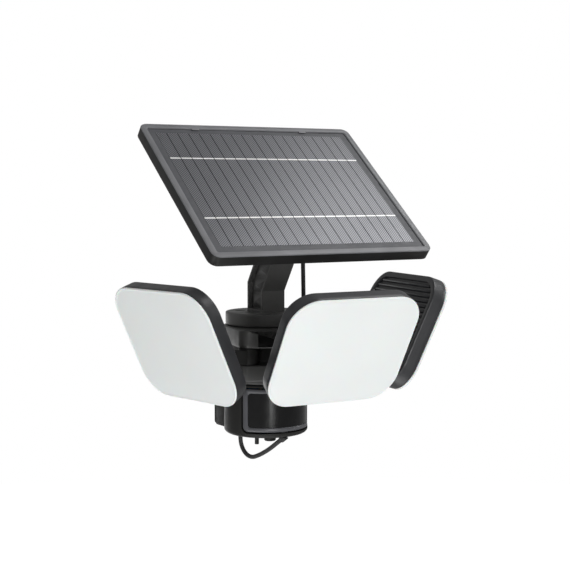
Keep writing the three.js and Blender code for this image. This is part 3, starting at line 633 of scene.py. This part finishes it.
def bend_round(work, radius):
    """Wraps x along a cylinder round the body axis; y is the distance out from the axis."""
    for vert in work.verts:
        along, out, z = vert.co
        angle = along / radius
        vert.co = (AXIS[0] + out * math.sin(angle), AXIS[1] - out * math.cos(angle), z)


def band_outline(node, grow_mm, corner_mm, radius):
    """Outline, along the body's curve and up it, of a CAD sector node, grown by grow_mm."""
    low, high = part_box(node)
    half = math.asin(min(1, high.x / radius)) * radius
    grow = grow_mm * MM
    return round_rect(2 * (half + grow), high.z - low.z + 2 * grow, corner_mm * MM,
                      (0, (low.z + high.z) / 2), corner_steps=8, edge_steps=24)


def slice_upright(work):
    """Cuts the work into upright slices, so that bend_round can curve it."""
    for k in range(-SLICES, SLICES + 1):
        bmesh.ops.bisect_plane(work, geom=work.verts[:] + work.edges[:] + work.faces[:],
                               plane_co=(k * SLICE_MM * MM, 0, 0), plane_no=(1, 0, 0))


def body_profile(radius, bottom, top):
    """[radius, height] round the wall of the sensor body: down the outside and up the inside."""
    wall, foot_rise = BODY_WALL_MM * MM, FOOT_MM[0][1] * MM
    shoulder = [(radius - inset * MM, top - drop * MM) for inset, drop in SHOULDER_MM]
    foot = [(radius - inset * MM, bottom + rise * MM) for inset, rise in FOOT_MM]
    inside = [
        (LATHE_CENTRE_MM * MM, bottom), (LATHE_CENTRE_MM * MM, bottom + wall),
        (radius - foot_rise, bottom + wall), (radius - wall, bottom + foot_rise),
        (radius - wall, top - ROOF_MM * MM), (WELL_RADIUS_MM * MM, top - ROOF_MM * MM),
    ]
    return [(WELL_RADIUS_MM * MM, top)] + shoulder + foot + inside


def cut_bore(piece, node, extra_mm, bottom):
    """Cuts a round bore through the bottom of the body, centred on a CAD node."""
    low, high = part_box(node)
    centre = (low + high) / 2
    radius = ((high.x - low.x) / 2 / MM + extra_mm) * MM
    turns = [2 * math.pi * i / 32 for i in range(32)]
    ring = [(centre.x + radius * math.cos(turn), centre.y + radius * math.sin(turn)) for turn in turns]
    hole = bmesh.new()
    loft(hole, [[(x, y, z) for x, y in ring] for z in (bottom - 5 * MM, bottom + 5 * MM)])
    subtract(piece, to_mesh("cutter", hole))


def make_sensor_housing():
    low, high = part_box("sensor_housing")
    radius = (high.x - low.x) / 2
    work = bmesh.new()
    lathe(work, body_profile(radius, low.z, high.z), AXIS, 128)
    piece = new_piece("sensor_body", to_mesh("sensor_body", work), "root", "charcoal_plastic", CHARCOAL,
                      replaced=["sensor_housing"])
    opening = band_outline("sensor_bezel", *OPENING_MM, radius)
    cutter = bmesh.new()
    loft(cutter, [[(x, out, z) for x, z in opening] for out in (radius * 0.78, radius * 1.2)])
    slice_upright(cutter)
    bend_round(cutter, radius)
    subtract(piece, to_mesh("cutter", cutter))
    for node, extra_mm in BORES_MM:
        cut_bore(piece, node, extra_mm, low.z)
    soften(piece, 0.35, angle_deg=35)
    return radius


def make_bezel(radius):
    outer = {grow: band_outline("sensor_bezel", grow, BEZEL_CORNER_MM + grow, radius) for grow in (0.0, -0.5)}
    inner = {grow: band_outline("sensor_window", grow, WINDOW_CORNER_MM + grow, radius)
             for grow in (0.35, 0.8)}
    face, back = radius - 0.35 * MM, radius - 2.3 * MM
    steps = [(outer[0.0], back), (outer[0.0], face - 0.5 * MM), (outer[-0.5], face), (inner[0.8], face),
             (inner[0.35], face - 0.5 * MM), (inner[0.35], back)]
    work = bmesh.new()
    loft(work, [[(x, out, z) for x, z in outline] for outline, out in steps], closed=True)
    bend_round(work, radius)
    new_piece("bezel_strip", to_mesh("bezel_strip", work, 50), "root", "bezel_grey", BEZEL,
              replaced=["sensor_bezel"])


def make_pane(radius):
    outline = band_outline("sensor_window", 0.1, PANE_CORNER_MM, radius)
    work = bmesh.new()
    loft(work, [[(x, out, z) for x, z in outline] for out in (radius - 2.4 * MM, radius - 1.1 * MM)])
    slice_upright(work)
    bend_round(work, radius)
    new_piece("infrared_pane", to_mesh("infrared_pane", work), "root", "sensor_pane", PANE,
              replaced=["sensor_window"])


body_radius = make_sensor_housing()
make_bezel(body_radius)
make_pane(body_radius)

# ---------------------------------------------------------------- plain pieces

FACET_SHARP_DEG = 9  # keeps the facets in the arm's side pockets flat

for plain_node, width in (("wall_plate", 0.4), ("rear_box", 0.8), ("junction_box", 0.8),
                          ("power_button", 0.4), ("time_knob", 0.4), ("hinge_knob", 0.7)):
    fine_copy(plain_node, CHARCOAL, "charcoal_plastic", width)
# painted light: the hub pieces take the charcoal painted lighter, for the shade they sit in
for hub_node, width in (("hub_lower", 0.5), ("hub_upper", 0.2), ("lead_clip", 0.3)):
    fine_copy(hub_node, HUB_PAINTED_LIGHTER, "charcoal_plastic", width)
# painted light: the cap and bracket take the charcoal painted lighter, for the panel's shade
for mast_node, width in (("panel_cap", 0.6), ("panel_bracket", 0.6)):
    fine_copy(mast_node, MAST_PAINTED_LIGHTER, "charcoal_plastic", width)
# painted light: the arm, in the panel's shade, takes the same lightened charcoal
arm_shell = fine_copy("panel_arm", MAST_PAINTED_LIGHTER, "charcoal_plastic", 0.25)
arm_shell.data.set_sharp_from_angle(angle=math.radians(FACET_SHARP_DEG))
# painted light: the gasket takes the hub's lightened charcoal too
fine_copy("neck_gasket", HUB_PAINTED_LIGHTER, "rubber", 0.3)
for soft_node in ("dc_plug", "dc_jack", "lead_gland"):
    fine_copy(soft_node, RUBBER, "rubber", 0.3)
for metal_node in ("hinge_bolt", "swivel_pin", "pir_sensor"):
    fine_copy(metal_node, STEEL, "steel", 0.25)
for inner_node, material in (("control_board", BOARD), ("battery_cell_left", WRAP),
                             ("battery_cell_right", WRAP), ("battery_holder", CHARCOAL)):
    paint_node(inner_node, material)

# ---------------------------------------------------------------- solar panel


def panel_matrix():
    """Millimetre frame from the middle of the glass: x across, y up the slope, z out of the glass."""
    laminate = NODES["solar_laminate"].data
    normal = max(laminate.polygons, key=lambda face: face.area).normal.copy()
    if normal.z < 0:
        normal.negate()
    across = Vector((1, 0, 0))
    up = normal.cross(across).normalized()
    top = max(v.co.dot(normal) for v in laminate.vertices)
    middle = sum((v.co for v in laminate.vertices), Vector()) / len(laminate.vertices)
    origin = middle + normal * (top - middle.dot(normal))
    turn = Matrix((across, up, normal)).transposed().to_4x4()
    return Matrix.Translation(origin) @ turn @ Matrix.Scale(MM, 4)


PANEL = panel_matrix()
SILICON = cell_silicon(PANEL.to_3x3() @ Vector((0, 1, 0)) / MM)
STRIPS = 18
STRIP_PITCH_MM = 11.3
STRIP_GAP_MM = 0.8
CELL_HALF_HEIGHT_MM = 78.6
CELL_CENTRE_MM = (1.0, 1.9)
BUSBARS_MM = (-41.4, 41.4)
BUSBAR_WIDTH_MM = 1.6
SHEET_CORNER_MM = 1.5
BACKING_INSET_MM = 0.3
# heights in the panel's frame, of a top or of a bottom and a top
SHEET_TOP_MM = -0.25
BACKING_MM = (-0.3, -0.18)
CELL_MM = (-0.3, -0.08)
BUSBAR_MM = (-0.1, 0.0)
# painted light: these faces get the lighter rim grey
LIT_RIM_FACING = 0.3  # faces that look this much out of the glass are the rim


def slab(work, x, y, z, corner=0.0):
    """A flat slab between the limits, its corners rounded if corner is given."""
    width, height = x[1] - x[0], y[1] - y[0]
    centre = ((x[0] + x[1]) / 2, (y[0] + y[1]) / 2)
    outline = round_rect(width, height, corner or 0.05, centre, corner_steps=4 if corner else 1)
    loft(work, [[PANEL @ Vector((px, py, pz)) for px, py in outline] for pz in z])


def strip_sides(strip):
    """Left and right side of a cell strip."""
    middle = CELL_CENTRE_MM[0] + (strip - (STRIPS - 1) / 2) * STRIP_PITCH_MM
    half = (STRIP_PITCH_MM - STRIP_GAP_MM) / 2
    return middle - half, middle + half


def make_laminate():
    """The sheet, the dark backing that shows between the cell strips, the strips and their busbars."""
    back = PANEL.inverted()
    local = [back @ v.co for v in NODES["solar_laminate"].data.vertices]
    half_w = max(p.x for p in local)
    half_h = max(p.y for p in local)
    depth = min(p.z for p in local)
    work = bmesh.new()
    slab(work, (-half_w, half_w), (-half_h, half_h), (depth, SHEET_TOP_MM), SHEET_CORNER_MM)
    new_piece("laminate_sheet", to_mesh("laminate_sheet", work), "solar_panel", "solar_cells", SHEET,
              replaced=["solar_laminate"])
    backing = bmesh.new()
    spread = STRIPS * STRIP_PITCH_MM / 2 - STRIP_GAP_MM
    wide = [CELL_CENTRE_MM[0] + side * spread for side in (-1, 1)]
    tall = [CELL_CENTRE_MM[1] + side * (CELL_HALF_HEIGHT_MM - BACKING_INSET_MM) for side in (-1, 1)]
    slab(backing, wide, tall, BACKING_MM)
    new_piece("cell_backing", to_mesh("cell_backing", backing), "solar_panel", "solar_cells", DARK_SHEET)
    cells = bmesh.new()
    ends = [CELL_CENTRE_MM[1] + side * CELL_HALF_HEIGHT_MM for side in (-1, 1)]
    for strip in range(STRIPS):
        slab(cells, strip_sides(strip), ends, CELL_MM)
    new_piece("cell_strips", to_mesh("cell_strips", cells), "solar_panel", "solar_cells", SILICON)
    bars = bmesh.new()
    for strip in range(STRIPS):
        for y in (CELL_CENTRE_MM[1] + offset for offset in BUSBARS_MM):
            slab(bars, strip_sides(strip), (y - BUSBAR_WIDTH_MM / 2, y + BUSBAR_WIDTH_MM / 2), BUSBAR_MM)
    new_piece("cell_busbars", to_mesh("cell_busbars", bars), "solar_panel", "solar_cells", SILVER)


def make_panel_frame():
    """The frame's copy has its rim face painted in the lighter grey, as painted light on the faces that look
    out of the glass, and its sides in the darker one.
    """
    piece = fine_copy("panel_frame", PANEL_SIDE, "panel_grey", 0.5, 3)
    mesh = piece.data
    mesh.materials.append(PANEL_RIM_PAINTED_LIT)
    normal = (PANEL.to_3x3() @ Vector((0, 0, 1))).normalized()
    for face in mesh.polygons:
        # painted light: faces looking out of the glass get the lighter grey
        if face.normal.dot(normal) > LIT_RIM_FACING:
            face.material_index = 1


make_laminate()
make_panel_frame()

# ---------------------------------------------------------------- floor, light and world

FLOOR_DROP = 2.0  # below the light, so that a low camera still sees past it
FLOOR_RADIUS = 9
AMBIENT_BELOW = 0.40
AMBIENT_ABOVE = 0.48

def area_light(name, location, target, size, power):
    data = bpy.data.lights.new(name, "AREA")
    data.shape = "RECTANGLE"
    data.size, data.size_y = size
    data.energy = power
    light = bpy.data.objects.new(name, data)
    light.location = location
    direction = Vector(target) - Vector(location)
    light.rotation_euler = direction.to_track_quat("-Z", "Y").to_euler()
    bpy.context.scene.collection.objects.link(light)


def make_floor():
    """A wide white floor well below the light, which only the camera sees and which blocks no light."""
    low, high = cad_box
    middle = (low + high) / 2
    work = bmesh.new()
    bmesh.ops.create_circle(work, cap_ends=True, segments=64, radius=FLOOR_RADIUS,
                            matrix=Matrix.Translation((middle.x, middle.y, low.z - FLOOR_DROP)))
    mesh = to_mesh("floor", work)
    made = Shader("pale_floor", Roughness=0.9, Emission_Color=(1, 1, 1, 1), Emission_Strength=1.0)
    made.color(made.mix(made.remap(made.noise(400), 0, 1), (0.86, 0.86, 0.86), (0.88, 0.88, 0.88)))
    mesh.materials.append(made.material)
    floor = bpy.data.objects.new("floor", mesh)
    bpy.context.scene.collection.objects.link(floor)
    floor.visible_diffuse = False
    floor.visible_glossy = False
    floor.visible_shadow = False


def make_world():
    """A white backdrop to the camera; as a light it is dimmer, and a little stronger from above."""
    world = bpy.data.worlds.new("studio")
    world.use_nodes = True
    tree = world.node_tree
    backdrop = tree.nodes["Background"]
    backdrop.inputs["Color"].default_value = (1, 1, 1, 1)
    backdrop.inputs["Strength"].default_value = 1.0
    direction = tree.nodes.new("ShaderNodeTexCoord").outputs["Generated"]
    axes = tree.nodes.new("ShaderNodeSeparateXYZ")
    tree.links.new(direction, axes.inputs["Vector"])
    fall = tree.nodes.new("ShaderNodeMapRange")
    tree.links.new(axes.outputs["Z"], fall.inputs["Value"])
    limits = {"From Min": -1, "From Max": 1, "To Min": AMBIENT_BELOW, "To Max": AMBIENT_ABOVE}
    for socket, value in limits.items():
        fall.inputs[socket].default_value = value
    ambient = tree.nodes.new("ShaderNodeBackground")
    tree.links.new(fall.outputs["Result"], ambient.inputs["Strength"])
    choice = tree.nodes.new("ShaderNodeMixShader")
    tree.links.new(tree.nodes.new("ShaderNodeLightPath").outputs["Is Camera Ray"], choice.inputs["Fac"])
    tree.links.new(ambient.outputs["Background"], choice.inputs[1])
    tree.links.new(backdrop.outputs["Background"], choice.inputs[2])
    tree.links.new(choice.outputs["Shader"], tree.nodes["World Output"].inputs["Surface"])
    bpy.context.scene.world = world
    bpy.context.scene.view_settings.view_transform = "Standard"


make_floor()
make_world()
area_light("front", (-0.5, -1.8, 0.06), (0, -0.1, 0.05), (0.3, 0.6), 13)
area_light("key", (-0.25, -1.75, 0.95), (0, -0.1, 0.05), (0.35, 0.7), 2.5)
area_light("low_fill", (-0.55, -0.85, -0.65), (0, -0.1, 0.02), (0.5, 0.4), 1.6)
area_light("under", (-0.1, -0.25, -1.3), (0, -0.1, 0.05), (0.8, 0.8), 5)
area_light("left_fill", (-1.35, -0.45, -1.05), (-0.1, -0.1, 0.05), (1.0, 1.0), 8)
area_light("right_fill", (1.4, -0.6, 0.5), (0.1, -0.1, 0.05), (0.6, 0.6), 5)
area_light("rear_fill", (0.2, 1.5, -0.5), (0, -0.1, 0.05), (1.0, 1.0), 5)
area_light("sky", (0.86, -0.36, 1.35), (0.02, -0.09, 0.17), (1.1, 0.5), 8.5)
